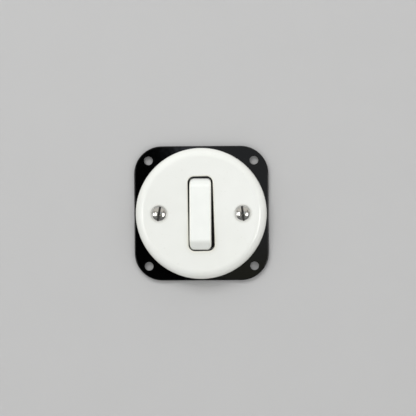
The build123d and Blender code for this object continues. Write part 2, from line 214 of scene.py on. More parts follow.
def finish(piece, body, slot_name, *nodes, smooth=32):
    """Cleans the mesh, shades it, ties the piece to its body and hides the CAD nodes it replaces;
    slot_name is not used.
    """
    merge(piece, TINY)
    bpy.ops.object.mode_set(mode="EDIT")
    bpy.ops.mesh.normals_make_consistent(inside=False)
    bpy.ops.object.mode_set(mode="OBJECT")
    bpy.ops.object.shade_smooth_by_angle(angle=radians(smooth))
    weigh = piece.modifiers.new("weigh", "WEIGHTED_NORMAL")
    weigh.keep_sharp = True
    bpy.ops.object.modifier_apply(modifier=weigh.name)
    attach(piece, body)
    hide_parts(*nodes)
    size = [round(v / MM, 2) for v in piece.dimensions]
    print(piece.name, len(piece.data.polygons), "faces, size", size)


print("helpers ready")

# %% [markdown]
# ## The mounting plate
# The plate is black, glossy and 3 mm thick, with large round corners, an open middle for the
# insert and four holes for wall screws. It could be one flat outline that is extruded, but a
# block whose four upright edges are bevelled gives the corner round in one step.

# %% Mounting plate
PLATE_HALF = 42.15
PLATE_THICK = 3.0
PLATE_CORNER = 17.5
PLATE_EDGE = 0.7
PLATE_OPENING = 34.5
HOLE_PLACE = 33.1
HOLE_RADIUS = 2.7
HOLE_EDGE = 0.18


def round_cutter(radius, sides):
    """A cutter right through the plate."""
    return lathe("cutter", [(radius, -BEYOND), (radius, PLATE_THICK + BEYOND)], sides)


def on_plate_face(p):
    return p.z > PLATE_THICK - NEAR


def on_hole_rim(p):
    from_hole = sqrt((abs(p.x) - HOLE_PLACE)**2 + (abs(p.y) - HOLE_PLACE)**2)
    return from_hole < HOLE_RADIUS + NEAR and on_plate_face(p)


plate = block("base_plate_dressed", (-PLATE_HALF, -PLATE_HALF, 0),
              (PLATE_HALF, PLATE_HALF, PLATE_THICK))
bevel(plate, upright, PLATE_CORNER, steps=28)
bevel(plate, both(on_plate_face), PLATE_EDGE, steps=6)
combine(plate, round_cutter(PLATE_OPENING, sides=192))
for x in (-HOLE_PLACE, HOLE_PLACE):
    for y in (-HOLE_PLACE, HOLE_PLACE):
        drill = round_cutter(HOLE_RADIUS, sides=64)
        place(drill, at=(x, y, 0), stand=False)
        combine(plate, drill)
bevel(plate, both(on_hole_rim), HOLE_EDGE, steps=3)
place(plate)
finish(plate, "insert", "black_plate", "base_plate")

# %% [markdown]
# ## The porcelain cover
# The cover is a shallow porcelain cap, pressed, glazed and fired. Its shoulder is a soft round,
# and it is hollow behind, with two thick bosses that take the screws. It is turned on the
# lathe, hollowed by an inset and a pull from behind, and its mouth and screw seats are cut
# afterwards, because a lathe can only make round things.

# %% Turned cap
COVER_RADIUS = 41.0
COVER_BACK = 3.0
COVER_FACE = 12.5
SHOULDER = 5.6
FOOT_ROUND = 0.6
COVER_WALL = 4.0
COVER_CEILING = COVER_FACE - COVER_WALL
CAVITY_ROUND = 2.4
BOSS_RADIUS = 5.0
BOSS_LOW = 4.4
SCREW_X = 26.2

foot_centre = (COVER_RADIUS - FOOT_ROUND, COVER_BACK + FOOT_ROUND)
shoulder_centre = (COVER_RADIUS - SHOULDER, COVER_FACE - SHOULDER)
outline = arc(foot_centre, FOOT_ROUND, -90, 0, steps=5)
outline += arc(shoulder_centre, SHOULDER, 0, 90, steps=20)
cover = lathe("front_cover_dressed", outline, sides=240)
pick(cover, "FACE", lambda middle, normal: normal.z < -LEVEL)
bpy.ops.mesh.inset(thickness=(COVER_WALL - FOOT_ROUND) * MM, depth=0)
bpy.ops.mesh.extrude_region_move(
    TRANSFORM_OT_translate={"value": (0, 0, (COVER_CEILING - COVER_BACK) * MM)})


def on_ceiling(p):
    inside = p.xy.length < COVER_RADIUS - COVER_WALL + NEAR
    return inside and abs(p.z - COVER_CEILING) < NEAR


bevel(cover, both(on_ceiling), CAVITY_ROUND, steps=6)
boss_outline = [(BOSS_RADIUS, BOSS_LOW), (BOSS_RADIUS, COVER_CEILING + OVERLAP)]
for x in (-SCREW_X, SCREW_X):
    boss = lathe("boss", boss_outline, sides=64)
    place(boss, at=(x, 0, 0), stand=False)
    combine(cover, boss, "UNION")
print("cap with", len(cover.data.polygons), "faces")

# %% [markdown]
# The mouth is a long rounded slot. Its throat is straight for a millimetre and then opens
# towards the back, so that the key can tilt inside it. One cutter has both: a block with
# bevelled uprights whose lower face is pulled down and spread. Fired porcelain is never quite
# true: this mouth stands a little askew and is wider at its lower end.

# %% Mouth and screw seats
MOUTH_WIDTH = 15.6
MOUTH_LENGTH = 46.4
MOUTH_CORNER = 3.8
MOUTH_TURN = 1.1
MOUTH_TAPER = 0.02
MOUTH_ROUND = 0.95
MOUTH_SPARE = 1.0
THROAT = COVER_FACE - 1.0
MOUTH_LOW = COVER_CEILING - OVERLAP
FLARE_ANGLE = 10.0
FLARE = (THROAT - MOUTH_LOW) * tan(radians(FLARE_ANGLE))
SEAT_MOUTH = 5.15
SEAT_SHANK = 2.55
SEAT_ROUND = 0.45

half_width, half_length = MOUTH_WIDTH / 2, MOUTH_LENGTH / 2
mouth = block("cutter", (-half_width, -half_length, THROAT),
              (half_width, half_length, COVER_FACE + BEYOND))
bevel(mouth, upright, MOUTH_CORNER, steps=14)
for way in (-1, 1):
    pick(mouth, "FACE", lambda middle, normal: middle.y * way > half_length - MOUTH_CORNER)
    bpy.ops.transform.resize(value=(1 - way * MOUTH_TAPER, 1, 1), center_override=(0, 0, 0))
pick(mouth, "FACE", lambda middle, normal: normal.z < -FACING)
bpy.ops.mesh.extrude_region_move(
    TRANSFORM_OT_translate={"value": (0, 0, (MOUTH_LOW - THROAT) * MM)})
bpy.ops.transform.resize(value=(1 + FLARE / half_width, 1 + FLARE / half_length, 1),
                         center_override=(0, 0, MOUTH_LOW * MM))
place(mouth, turn=MOUTH_TURN, stand=False)
combine(cover, mouth)
cone_low = COVER_FACE - SEAT_MOUTH + SEAT_SHANK
seat_outline = [(SEAT_SHANK, COVER_BACK), (SEAT_SHANK, cone_low),
                (SEAT_MOUTH, COVER_FACE), (SEAT_MOUTH, COVER_FACE + BEYOND)]
for x in (-SCREW_X, SCREW_X):
    seat = lathe("cutter", seat_outline, sides=96)
    place(seat, at=(x, 0, 0), stand=False)
    combine(cover, seat)


def flat_face(middle, normal):
    return normal.z > LEVEL and middle.z > COVER_FACE - NEAR


def in_mouth(p):
    return abs(p.x) < half_width + MOUTH_SPARE and abs(p.y) < half_length + MOUTH_SPARE


def in_seat(p):
    return sqrt((abs(p.x) - SCREW_X)**2 + p.y**2) < SEAT_MOUTH + NEAR


bevel(cover, both(in_mouth), MOUTH_ROUND, steps=7, top=flat_face)
bevel(cover, both(in_seat), SEAT_ROUND, steps=5, top=flat_face)
place(cover)
finish(cover, "insert", "porcelain", "front_cover")

# %% [markdown]
# ## The cover screws
# Two raised countersunk screws with a plain slot hold the cover. A screw is turned like the
# cap: shank, cone, a thin land and a low dome. The slot is cut with a block, and its edges
# are broken by a fine bevel, which is what catches the light on a real screw.

# %% Screws
SHANK_RADIUS = 2.5
SHANK_LOW = 0.65
HEAD_RADIUS = 4.6
HEAD_RIM = 12.25
HEAD_LAND = 0.25
HEAD_DOME = 1.2
HEAD_EDGE = 0.12
SLOT_WIDTH = 1.3
SLOT_DEPTH = 1.4
SLOT_EDGE = 0.07
SLOT_END = 0.3
DOME_FIRST = 0.8
DOME_LAST = 88.0
DOME_SLOPE = 0.8
SLOT_TURNS = {"left": -10.0, "right": 7.0}

dome_radius = (HEAD_RADIUS**2 + HEAD_DOME**2) / (2 * HEAD_DOME)
dome_centre = HEAD_RIM + HEAD_DOME - dome_radius
dome_start = degrees(atan2(HEAD_RIM - dome_centre, HEAD_RADIUS))
head_top = HEAD_RIM + HEAD_DOME
half_slot = SLOT_WIDTH / 2


def on_dome(middle, normal):
    from_centre = (middle - Vector((0, 0, dome_centre))).length
    return from_centre > dome_radius - NEAR and normal.z > DOME_SLOPE


def on_slot_side(p):
    return abs(abs(p.x) - half_slot) < NEAR and abs(p.y) < HEAD_RADIUS - SLOT_END


def make_screw(side, x):
    land_low = HEAD_RIM - HEAD_LAND
    outline = [(SHANK_RADIUS, SHANK_LOW), (SHANK_RADIUS, land_low - HEAD_RADIUS + SHANK_RADIUS),
               (HEAD_RADIUS, land_low), (HEAD_RADIUS, HEAD_RIM - HEAD_EDGE)]
    outline += arc((0, dome_centre), dome_radius, dome_start + DOME_FIRST, DOME_LAST, steps=16)
    screw = lathe(f"cover_screw_{side}", outline, sides=128)
    combine(screw, block("cutter", (-half_slot, -HEAD_RADIUS - BEYOND, head_top - SLOT_DEPTH),
                         (half_slot, HEAD_RADIUS + BEYOND, head_top + BEYOND)))
    bevel(screw, both(on_slot_side), SLOT_EDGE, steps=3, top=on_dome)
    place(screw, turn=SLOT_TURNS[side], at=(x, 0, 0))
    return screw


for side, x in (("left", -SCREW_X), ("right", SCREW_X)):
    finish(make_screw(side, x), "insert", "bright_screw", "cover_screws")

# %% [markdown]
# ## The rocking key
# The key is a long bar with a flat face that bends down at both ends. It is sawn out of a
# block: each side of its outline is one straight cut, made with the bisect operator. The
# corners of the end walls lie on an arc about the pivot, so that the gap to the mouth stays
# the same while the key tilts. The operator wants the direction of each cut as a vector of
# length one. Then come three bevels: the bends of the face, the upright corners and the rim.

# %% Key
KEY_HALF = 6.75
KEY_FACE = 10.3
KEY_FACE_HALF = 17.5
KEY_EDGE = 5.4
KEY_ARC_LOW = 4.0
KEY_SKIRT = 2.0
KEY_ARC = 23.114
KEY_BEND = 3.0
KEY_CORNER = 3.0
KEY_RIM = 1.2
KEY_WALL = 2.0
KEY_CEILING = 5.02
KEY_TILT = -3.5
KEY_PIVOT = (-0.3, -0.3, 6.0)
KEY_TOP = 0.6
KEY_MERGE = 0.05
SAW_LIMIT = 0.0001
NOTCH = 2.6


def reach(height):
    """How far the end wall stands from the pivot at a height."""
    return sqrt(KEY_ARC**2 - height**2)


def saw(piece, start, stop):
    """Cuts away what lies outside a straight line between two (y, z) points."""
    outward = Vector((0, start[1] - stop[1], stop[0] - start[0])).normalized()
    if start[0] < 0:
        outward = -outward
    take(piece)
    bpy.ops.object.mode_set(mode="EDIT")
    bpy.ops.mesh.select_all(action="SELECT")
    bpy.ops.mesh.bisect(plane_co=(0, start[0] * MM, start[1] * MM), plane_no=outward,
                        use_fill=True, clear_outer=True, threshold=SAW_LIMIT * MM)
    bpy.ops.object.mode_set(mode="OBJECT")


side_points = [(KEY_FACE_HALF, KEY_FACE), (reach(KEY_EDGE), KEY_EDGE),
               (reach(KEY_ARC_LOW), KEY_ARC_LOW)]
key = block("rocker_key_dressed", (-KEY_HALF, -reach(KEY_ARC_LOW), KEY_SKIRT),
            (KEY_HALF, reach(KEY_ARC_LOW), KEY_FACE))
for way in (-1, 1):
    for (y0, z0), (y1, z1) in zip(side_points, side_points[1:]):
        saw(key, (way * y0, z0), (way * y1, z1))
print("sawn block with", len(key.data.polygons), "faces")

# %% Key bevels
bend_angle = atan2(KEY_FACE - KEY_EDGE, reach(KEY_EDGE) - KEY_FACE_HALF)


def on_bend(p):
    return abs(abs(p.y) - KEY_FACE_HALF) < NEAR and p.z > KEY_FACE - NEAR


def bend_line(first, second):
    return both(on_bend)(first, second) and first.x * second.x < 0


def on_end(p):
    return abs(p.y) > reach(KEY_EDGE) - NEAR


def end_upright(first, second):
    one_side = abs(first.z - second.z) > NEAR and first.x * second.x > 0
    return both(on_end)(first, second) and one_side


bevel(key, bend_line, KEY_BEND * tan(bend_angle / 2), steps=7)
bevel(key, end_upright, KEY_CORNER, steps=10)
merge(key, KEY_MERGE)
bevel(key, both(lambda p: True), KEY_RIM, steps=7,
      top=lambda middle, normal: normal.z > KEY_TOP)
pick(key, "FACE", lambda middle, normal: normal.z < -FACING)
bpy.ops.mesh.inset(thickness=KEY_WALL * MM, depth=0)
bpy.ops.mesh.extrude_region_move(
    TRANSFORM_OT_translate={"value": (0, 0, (KEY_CEILING - KEY_SKIRT) * MM)})
combine(key, block("cutter", (-KEY_HALF - BEYOND, -NOTCH, KEY_SKIRT - BEYOND),
                   (KEY_HALF + BEYOND, NOTCH, NOTCH)))
place(key, tilt=KEY_TILT, at=KEY_PIVOT)
finish(key, "key", "white_key", "rocker_key")

# %% [markdown]
# ## The return spring
# The spring shortens when the key is pressed; here it is made as one coil at rest. A small
# circle is carried round and up by the Screw modifier. That leaves a tube with two open ends,
# which are filled.

# %% Spring
SPRING_RADIUS = 1.75
SPRING_WIRE = 0.45
SPRING_TURNS = 7
SPRING_STEPS = 40
SPRING_LOW = -13.99
SPRING_HIGH = 1.99
SPRING_UP = -15.3

deselect_all()
bpy.ops.mesh.primitive_circle_add(vertices=12, radius=SPRING_WIRE / 2 * MM,
                                  enter_editmode=True, location=(0, 0, 0),
                                  rotation=(pi / 2, 0, 0))
bpy.ops.transform.translate(value=(SPRING_RADIUS * MM, 0, (SPRING_LOW + SPRING_WIRE / 2) * MM))
bpy.ops.object.mode_set(mode="OBJECT")
spring = bpy.context.object
spring.name = spring.data.name = "return_spring_dressed"
bpy.ops.object.transform_apply(location=True, rotation=True, scale=True)
coil = spring.modifiers.new("coil", "SCREW")
coil.screw_offset = (SPRING_HIGH - SPRING_LOW - SPRING_WIRE) / SPRING_TURNS * MM
coil.iterations, coil.steps, coil.render_steps = SPRING_TURNS, SPRING_STEPS, SPRING_STEPS
bpy.ops.object.modifier_apply(modifier=coil.name)
bpy.ops.object.mode_set(mode="EDIT")
bpy.ops.mesh.select_all(action="SELECT")
bpy.ops.mesh.fill_holes(sides=0)
bpy.ops.object.mode_set(mode="OBJECT")
place(spring, at=(0, SPRING_UP, 0))
finish(spring, "insert", "steel", "return_spring", smooth=60)
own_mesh(spring)

# %% [markdown]
# ## Maths on materials
# A material is a net of small machines, the nodes, with wires between their sockets. Writing
# that net out node by node is long, so this class wraps one output socket and lets sums be
# written as sums: each plus, minus, times or divide adds a Math node. Everything else comes
# from one method, which is given a node's type, its settings and its inputs.

# %% Signals and finishes
class Signal:
    """A value on a wire of a material."""

    def __init__(self, socket):
        self.socket, self.tree = socket, socket.id_data

    def math(self, operation, *values):
        settings = {"operation": operation}
        return add_node(self.tree, "ShaderNodeMath", settings, dict(enumerate(values)))

    def __add__(self, other):
        return self.math("ADD", self, other)

    def __radd__(self, other):
        return self.math("ADD", other, self)

    def __sub__(self, other):
        return self.math("SUBTRACT", self, other)

    def __rsub__(self, other):
        return self.math("SUBTRACT", other, self)

    def __mul__(self, other):
        return self.math("MULTIPLY", self, other)

    def __rmul__(self, other):
        return self.math("MULTIPLY", other, self)

    def __truediv__(self, other):
        return self.math("DIVIDE", self, other)

    def absolute(self):
        return self.math("ABSOLUTE", self)

    def root(self):
        return self.math("SQRT", self)

    def at_least(self, other):
        return self.math("MAXIMUM", self, other)

    def at_most(self, other):
        return self.math("MINIMUM", self, other)


def add_node(tree, kind, settings=None, inputs=None, output=0):
    """Adds a node: first its settings, then a value or a wire for each socket that is named."""
    made = tree.nodes.new(kind)
    for name, value in (settings or {}).items():
        setattr(made, name, value)
    for name, value in (inputs or {}).items():
        if isinstance(value, Signal):
            tree.links.new(value.socket, made.inputs[name])
        elif value is not None:
            made.inputs[name].default_value = value
    return Signal(made.outputs[output])


class Finish:
    """A material in the making, read at each point of a piece by its place in metres."""

    def __init__(self, name):
        self.material = bpy.data.materials.new(name)
        self.material.use_nodes = True
        self.tree = self.material.node_tree
        self.tree.nodes.clear()
        self.place = self.node("ShaderNodeTexCoord", output="Object")

    def node(self, kind, settings=None, inputs=None, output=0):
        return add_node(self.tree, kind, settings, inputs, output)

    def moved(self, centre=(0, 0, 0), turn=(0, 0, 0), stretch=(1, 1, 1)):
        """The place seen from another centre, turned or stretched."""
        inputs = {"Vector": self.place, "Location": centre, "Rotation": turn, "Scale": stretch}
        return self.node("ShaderNodeMapping", {"vector_type": "TEXTURE"}, inputs)

    def axes(self, vector=None):
        """The x, y and z of a place."""
        split = self.node("ShaderNodeSeparateXYZ", None, {0: vector or self.place})
        return [Signal(split.socket.node.outputs[i]) for i in range(3)]

    def noise(self, size_mm, detail, vector=None):
        """Cloudy variation from 0 to 1 with features of a size in millimetres."""
        inputs = {"Vector": vector or self.place, "Scale": 1 / (size_mm * MM), "Detail": detail}
        return self.node("ShaderNodeTexNoise", None, inputs)

    def ramp(self, value, start, stop, low=0.0, high=1.0):
        """A smooth step from low at start to high at stop."""
        settings = {"interpolation_type": "SMOOTHSTEP"}
        inputs = {"Value": value, "From Min": start, "From Max": stop,
                  "To Min": low, "To Max": high}
        return self.node("ShaderNodeMapRange", settings, inputs)

    def mix(self, share, first, second):
        """A colour between two others. The Mix node has its colour sockets at 6, 7 and 2."""
        inputs = {0: share, 6: first, 7: second}
        return self.node("ShaderNodeMix", {"data_type": "RGBA"}, inputs, output=2)

    def bump(self, height, depth_mm, under=None):
        """Bends the normal as if height, from 0 to 1, were depth_mm deep."""
        inputs = {"Height": height, "Distance": depth_mm * MM, "Strength": 1.0, "Normal": under}
        return self.node("ShaderNodeBump", None, inputs)

    def end(self, shader):
        """Ends the material with a shader."""
        output = self.tree.nodes.new("ShaderNodeOutputMaterial")
        self.tree.links.new(shader.socket, output.inputs["Surface"])
        return self.material

    def surface(self, **inputs):
        """Ends the material with the Principled shader; base_color=... sets its Base Color."""
        named = {}
        for name, value in inputs.items():
            named[name.replace("_", " ").title().replace("Ior", "IOR")] = value
        return self.end(self.node("ShaderNodeBsdfPrincipled", None, named))

    def glow(self, colour):
        """Ends the material with a shader that shines by itself."""
        return self.end(self.node("ShaderNodeEmission", None, {"Color": colour, "Strength": 1.0}))


def grey(value):
    """A colour without a hue."""
    return (value, value, value, 1.0)


def wear(piece, material):
    """Gives a piece one material."""
    piece.data.materials.clear()
    piece.data.materials.append(material)


# Near-black painted shade, for the throat of the mouth and the key's walls inside it
PAINTED_GAP_SHADE = (0.035, 0.031, 0.027, 1)
print("material helpers ready")

# %% [markdown]
# ## Glazed porcelain
# Glaze is glass over white clay. It is never quite even: light runs over it in soft waves, and
# where it has drawn back from an edge in the kiln the warmer clay shows through. So the
# colour turns cream near the mouth's rim and on the shoulder, and a very shallow, wide bump
# makes the reflections wander. Shade is painted into the colour too: a painted shadow beside
# the lower half of the key, a painted shade in a ring around each screw, and near-black painted
# shade in the throat of the mouth. How far a point is from the mouth is worked out in the
# mouth's own directions, since it stands askew and tapers.

# %% Porcelain
def make_porcelain():
    glaze = Finish("glazed_porcelain")
    x, y, z = glaze.axes()
    across, _, along = glaze.axes(glaze.moved(turn=(0, -radians(MOUTH_TURN), 0)))
    straight = (half_length - MOUTH_CORNER) * MM
    narrower = along / straight * (MOUTH_TAPER * half_width * MM)
    side = (across.absolute() + narrower - (half_width - MOUTH_CORNER) * MM).at_least(0.0)
    end = (along.absolute() - straight).at_least(0.0)
    from_mouth = (side * side + end * end).root() - MOUTH_CORNER * MM
    from_axis = (x * x + z * z).root()
    from_screw_x = x.absolute() - SCREW_X * MM
    from_screw = (from_screw_x * from_screw_x + z * z).root()
    clouds = glaze.ramp(glaze.noise(24, 2), 0.3, 0.7)
    colour = glaze.mix(clouds, (0.80, 0.812, 0.775, 1), (0.825, 0.837, 0.803, 1))
    thin = glaze.ramp(from_mouth, 1.3 * MM, 0.5 * MM)
    colour = glaze.mix(thin * 0.6, colour, (0.80, 0.79, 0.69, 1))
    shoulder = glaze.ramp(from_axis, 37.5 * MM, COVER_RADIUS * MM)
    colour = glaze.mix(shoulder * 0.3, colour, (0.77, 0.765, 0.70, 1))
    specks = glaze.ramp(glaze.noise(1.1, 0), 0.80, 0.84)
    colour = glaze.mix(specks * 0.12, colour, (0.42, 0.38, 0.30, 1))
    # Painted shadow: the cover darkens beside the lower half of the key, where the key stands out
    painted_key_shadow = glaze.ramp(from_mouth, 3.5 * MM, 0.6 * MM) * glaze.ramp(z, -4 * MM, -15 * MM)
    colour = glaze.mix(painted_key_shadow * 0.22, colour, (0.62, 0.60, 0.52, 1))
    # Painted shade: a darker ring around each screw seat
    painted_screw_shade = glaze.ramp(from_screw, 6.8 * MM, 5.2 * MM)
    colour = glaze.mix(painted_screw_shade * 0.3, colour, (0.55, 0.54, 0.49, 1))
    # Painted shade: the throat of the mouth turns near black
    throat = glaze.ramp(from_mouth, 0.5 * MM, 0.3 * MM) * glaze.ramp(y, -12.25 * MM, -11.95 * MM)
    colour = glaze.mix(throat, colour, PAINTED_GAP_SHADE)
    waves = glaze.bump(glaze.noise(11, 1), 0.05)
    skin = glaze.bump(glaze.noise(1.6, 2), 0.0012, under=waves)
    rough = glaze.ramp(glaze.noise(6, 3), 0.25, 0.75, 0.05, 0.11)
    return glaze.surface(base_color=colour, roughness=rough, ior=1.52, normal=skin)


PORCELAIN = make_porcelain()
wear(cover, PORCELAIN)
print("porcelain has", len(PORCELAIN.node_tree.nodes), "nodes")

# %% [markdown]
# ## Moulded white key
# The key is a cooler, whiter plastic with a satin gloss. Years of thumbs polish its lower end,
# and its moulded skin has a very fine grain. Its rim is yellowed a little, and its walls get a
# near-black painted shade where they stand inside the mouth.

# %% Key finish
def make_key_white():
    plastic = Finish("moulded_white")
    x, y, z = plastic.axes()
    tone = plastic.ramp(plastic.noise(9, 2), 0.3, 0.7)
    colour = plastic.mix(tone, (0.825, 0.845, 0.812, 1), (0.845, 0.863, 0.83, 1))
    from_middle = (x - KEY_PIVOT[0] * MM).absolute()
    from_pivot = (z - KEY_PIVOT[1] * MM).absolute()
    rim = plastic.ramp(from_middle, (KEY_HALF - KEY_RIM) * MM, (KEY_HALF - 0.5) * MM)
    colour = plastic.mix(rim * 0.6, colour, (0.85, 0.85, 0.77, 1))
    # Painted shade: side and end walls turn near black below the cover's face
    wall = plastic.ramp(from_middle, (KEY_HALF - 0.35) * MM, (KEY_HALF - 0.08) * MM)
    end = plastic.ramp(from_pivot, 22.15 * MM, 22.4 * MM)
    inside = plastic.ramp(y, -12.7 * MM, -12.1 * MM)
    colour = plastic.mix(wall.at_least(end) * inside, colour, PAINTED_GAP_SHADE)
    grain = plastic.bump(plastic.noise(0.5, 3), 0.002)
    thumb = plastic.ramp(z, 2 * MM, -20 * MM)
    rough = 0.20 + plastic.noise(3, 3) * 0.08 - thumb * 0.06
    return plastic.surface(base_color=colour, roughness=rough, ior=1.49, normal=grain)


KEY_WHITE = make_key_white()
wear(key, KEY_WHITE)
print("key finish has", len(KEY_WHITE.node_tree.nodes), "nodes")

# %% [markdown]
# ## Black gloss plate
# Polished black shows almost no colour of its own, only what it reflects. What makes it look
# real is what lies on it: a little dust, hairline scratches that change its roughness, and a
# faint unevenness of the moulded surface.

# %% Plate finish
def make_black_gloss():
    gloss = Finish("black_gloss")
    dust = gloss.ramp(gloss.noise(0.45, 2), 0.70, 0.80)
    dusty = gloss.ramp(gloss.noise(18, 2), 0.45, 0.75)
    brushed = gloss.moved(turn=(0, 0.5, 0), stretch=(14, 1, 0.25))
    hairs = gloss.ramp(gloss.noise(1.0, 1, brushed), 0.66, 0.72)
    colour = gloss.mix(dust * dusty * 0.5, (0.0008, 0.0008, 0.0009, 1), (0.04, 0.038, 0.034, 1))
    rough = 0.035 + gloss.noise(7, 3) * 0.03 + hairs * 0.10 + dust * 0.15
    peel = gloss.bump(gloss.noise(4.5, 1), 0.008)
    return gloss.surface(base_color=colour, roughness=rough, ior=1.5, normal=peel)


BLACK_GLOSS = make_black_gloss()
wear(plate, BLACK_GLOSS)
print("plate finish has", len(BLACK_GLOSS.node_tree.nodes), "nodes")

# %% [markdown]
# ## Nickel screws
# The heads are nickel plated and polished, with rings left by the lathe, so the pattern is
# centred on each screw. The floor of the slot is darker and duller than the dome.

# %% Screw finish
def make_nickel(side, x):
    nickel = Finish(f"nickel_{side}")
    around = nickel.moved(centre=(x * MM, 0, 0), turn=(0, -radians(SLOT_TURNS[side]), 0))
    across, out, up = nickel.axes(around)
    radius = (across * across + up * up).root()
    rings = nickel.noise(0.16, 2, nickel.node("ShaderNodeCombineXYZ", None, {0: radius}))
    in_slot = nickel.ramp(across.absolute(), (half_slot + 0.03) * MM, half_slot * MM)
    deep = nickel.ramp(out, -13.0 * MM, -12.3 * MM)
    # The floor of the slot is painted darker and made duller
    dark_slot_floor = in_slot * deep
    stain = nickel.ramp(nickel.noise(1.3, 3), 0.56, 0.74)
    metal = nickel.mix(stain * 0.5, (0.74, 0.735, 0.72, 1), (0.52, 0.49, 0.45, 1))
    colour = nickel.mix(dark_slot_floor * 0.9, metal, (0.035, 0.032, 0.030, 1))
    rough = 0.09 + rings * 0.08 + dark_slot_floor * 0.35 + stain * 0.1
    turned = nickel.bump(rings, 0.0015)
    dents = nickel.bump(nickel.noise(2.2, 2), 0.02, under=turned)
    return nickel.surface(base_color=colour, metallic=1.0, roughness=rough, normal=dents)


for side, x in (("left", -SCREW_X), ("right", SCREW_X)):
    wear(bpy.data.objects[f"cover_screw_{side}"], make_nickel(side, x))
print("two screw finishes")

# %% [markdown]
# ## The insert's finishes
# Behind the plate is what an electrician sees: a zinc-plated ring, a dark thermoset housing, an
# unglazed steatite base, brass terminals and small steel screws. These pieces stay as the CAD
# model has them and only get finishes; only the spring is a new piece. One recipe makes all
# the metals, each with its own colour, grain and tarnish, and another makes the moulded and
# pressed ones. The cradle can be seen through the gap, so a painted shade darkens its sides
# there, like the throat.

# %% Metals and mouldings
def make_metal(name, colour, tarnish, roughness, grain_mm, stretch=(1, 1, 1)):
    metal = Finish(name)
    grain = metal.noise(grain_mm, 3, metal.moved(stretch=stretch))
    patches = metal.ramp(metal.noise(5, 3), 0.4, 0.7)
    tone = metal.mix(patches, colour, tarnish)
    rough = roughness + grain * 0.15 + patches * 0.12
    drawn = metal.bump(grain, 0.006)
    return metal.surface(base_color=tone, metallic=1.0, roughness=rough, normal=drawn)


def make_moulding(name, colour, fleck, roughness, fleck_mm, pit_mm, with_painted_gap_shade=False):
    moulding = Finish(name)
    flecks = moulding.ramp(moulding.noise(fleck_mm, 3), 0.52, 0.68)
    tone = moulding.mix(flecks, colour, fleck)
    if with_painted_gap_shade:
        x, y, _ = moulding.axes()
        # Painted shade: the cradle's sides seen through the gap turn near black
        aside = moulding.ramp(x.absolute(), 5.6 * MM, 6.3 * MM)
        painted_gap_shade = aside * moulding.ramp(y, -3.5 * MM, -5.0 * MM)
        tone = moulding.mix(painted_gap_shade, tone, (0.03, 0.027, 0.024, 1))
    rough = roughness + moulding.noise(2.5, 3) * 0.12
    skin = moulding.bump(moulding.noise(0.35, 3), pit_mm)
    return moulding.surface(base_color=tone, roughness=rough, normal=skin)


ZINC = make_metal("zinc_plated", (0.62, 0.63, 0.64, 1), (0.47, 0.48, 0.49, 1), 0.27, 0.9)
BRASS = make_metal("stamped_brass", (0.72, 0.53, 0.24, 1), (0.50, 0.34, 0.15, 1), 0.25, 0.6,
                   stretch=(1, 1, 3))
STEEL = make_metal("drawn_steel", (0.56, 0.57, 0.58, 1), (0.43, 0.43, 0.44, 1), 0.2, 0.4,
                   stretch=(3, 1, 1))
SILVER = make_metal("fine_silver", (0.82, 0.81, 0.78, 1), (0.60, 0.56, 0.50, 1), 0.22, 0.4)
THERMOSET = make_moulding("thermoset", (0.040, 0.036, 0.033, 1), (0.062, 0.054, 0.047, 1),
                          0.36, 1.4, 0.006)
STEATITE = make_moulding("steatite", (0.70, 0.675, 0.60, 1), (0.63, 0.60, 0.525, 1),
                         0.55, 0.7, 0.015)
INNER_WHITE = make_moulding("inner_white", (0.70, 0.69, 0.63, 1), (0.66, 0.645, 0.58, 1),
                            0.42, 2.0, 0.004, with_painted_gap_shade=True)

PIECES_OF = (
    (INNER_WHITE, ("rocker_cradle", "plunger")),
    (STEEL, ("pivot_pin",)),
    (ZINC, ("support_ring", "ring_screws", "base_screws", "terminal_screws", "strip_screws")),
    (THERMOSET, ("insert_housing",)),
    (STEATITE, ("insert_base",)),
    (BRASS, ("contact_bridge", "contact_strip_left", "contact_strip_right",
             "terminal_block_left", "terminal_block_right")),
    (SILVER, ("bridge_tips", "fixed_tips")),
)
for material, names in PIECES_OF:
    for name in names:
        for slot in NODES[name].material_slots:
            slot.material = material
wear(spring, STEEL)
print(sum(len(names) for material, names in PIECES_OF), "CAD pieces have a finish")

# %% [markdown]
# ## Wall, floor and card
# The switch is screwed to a plain pale wall over a plain pale floor. The wall shows only from
# the front: its back is transparent, so that the insert can be seen from behind. In front of
# the switch, out of the camera's sight, stands a photographer's card that only reflections
# see. It is pale above and dull below. Its middle, which the black plate mirrors, is black on
# the left and grey on the right. Bright strips beside it draw the soft highlights on the
# screws and on the cover's shoulder, and black patches darken what is mirrored above and below
# them. A second, dull card lies on the floor and darkens the lower side of the screws.

# %% Stage
WALL_COLOUR = (0.50, 0.50, 0.50, 1)
FLOOR_COLOUR = (0.80, 0.80, 0.79, 1)
STRIP_LIGHT = (6.0, 6.0, 5.8, 1)
LOW_CARD_LIGHT = 0.16
WALL_GAP = 0.05
FLOOR_Z = -1.2
CARD_DISTANCE = 1.7
CARD_Z = 0.31
CARD_WIDTH = 4.4
LOW_CARD_DISTANCE = 1.2
LOW_CARD_Z = FLOOR_Z + 0.01
STANDING = (pi / 2, 0, 0)
LYING = (0, 0, 0)


def sheet(name, size, location, rotation):
    """A flat rectangle that belongs to the stage, in metres."""
    deselect_all()
    bpy.ops.mesh.primitive_plane_add(size=1, location=(0, 0, 0))
    flat = bpy.context.object
    flat.name = flat.data.name = name
    flat.scale = (size[0], size[1], 1)
    flat.rotation_euler = rotation
    flat.location = location
    bpy.ops.object.transform_apply(location=True, rotation=True, scale=True)
    return flat


def make_backdrop(name, colour, one_sided):
    paint = Finish(name)
    tone = paint.mix(paint.noise(40, 4), colour, [c * 0.97 for c in colour[:3]] + [1])
    shader = paint.node("ShaderNodeBsdfPrincipled", None, {"Base Color": tone, "Roughness": 0.9})
    if one_sided:
        back = paint.node("ShaderNodeNewGeometry", output="Backfacing")
        clear = paint.node("ShaderNodeBsdfTransparent")
        shader = paint.node("ShaderNodeMixShader", None, {0: back, 1: shader, 2: clear})
    return paint.end(shader)


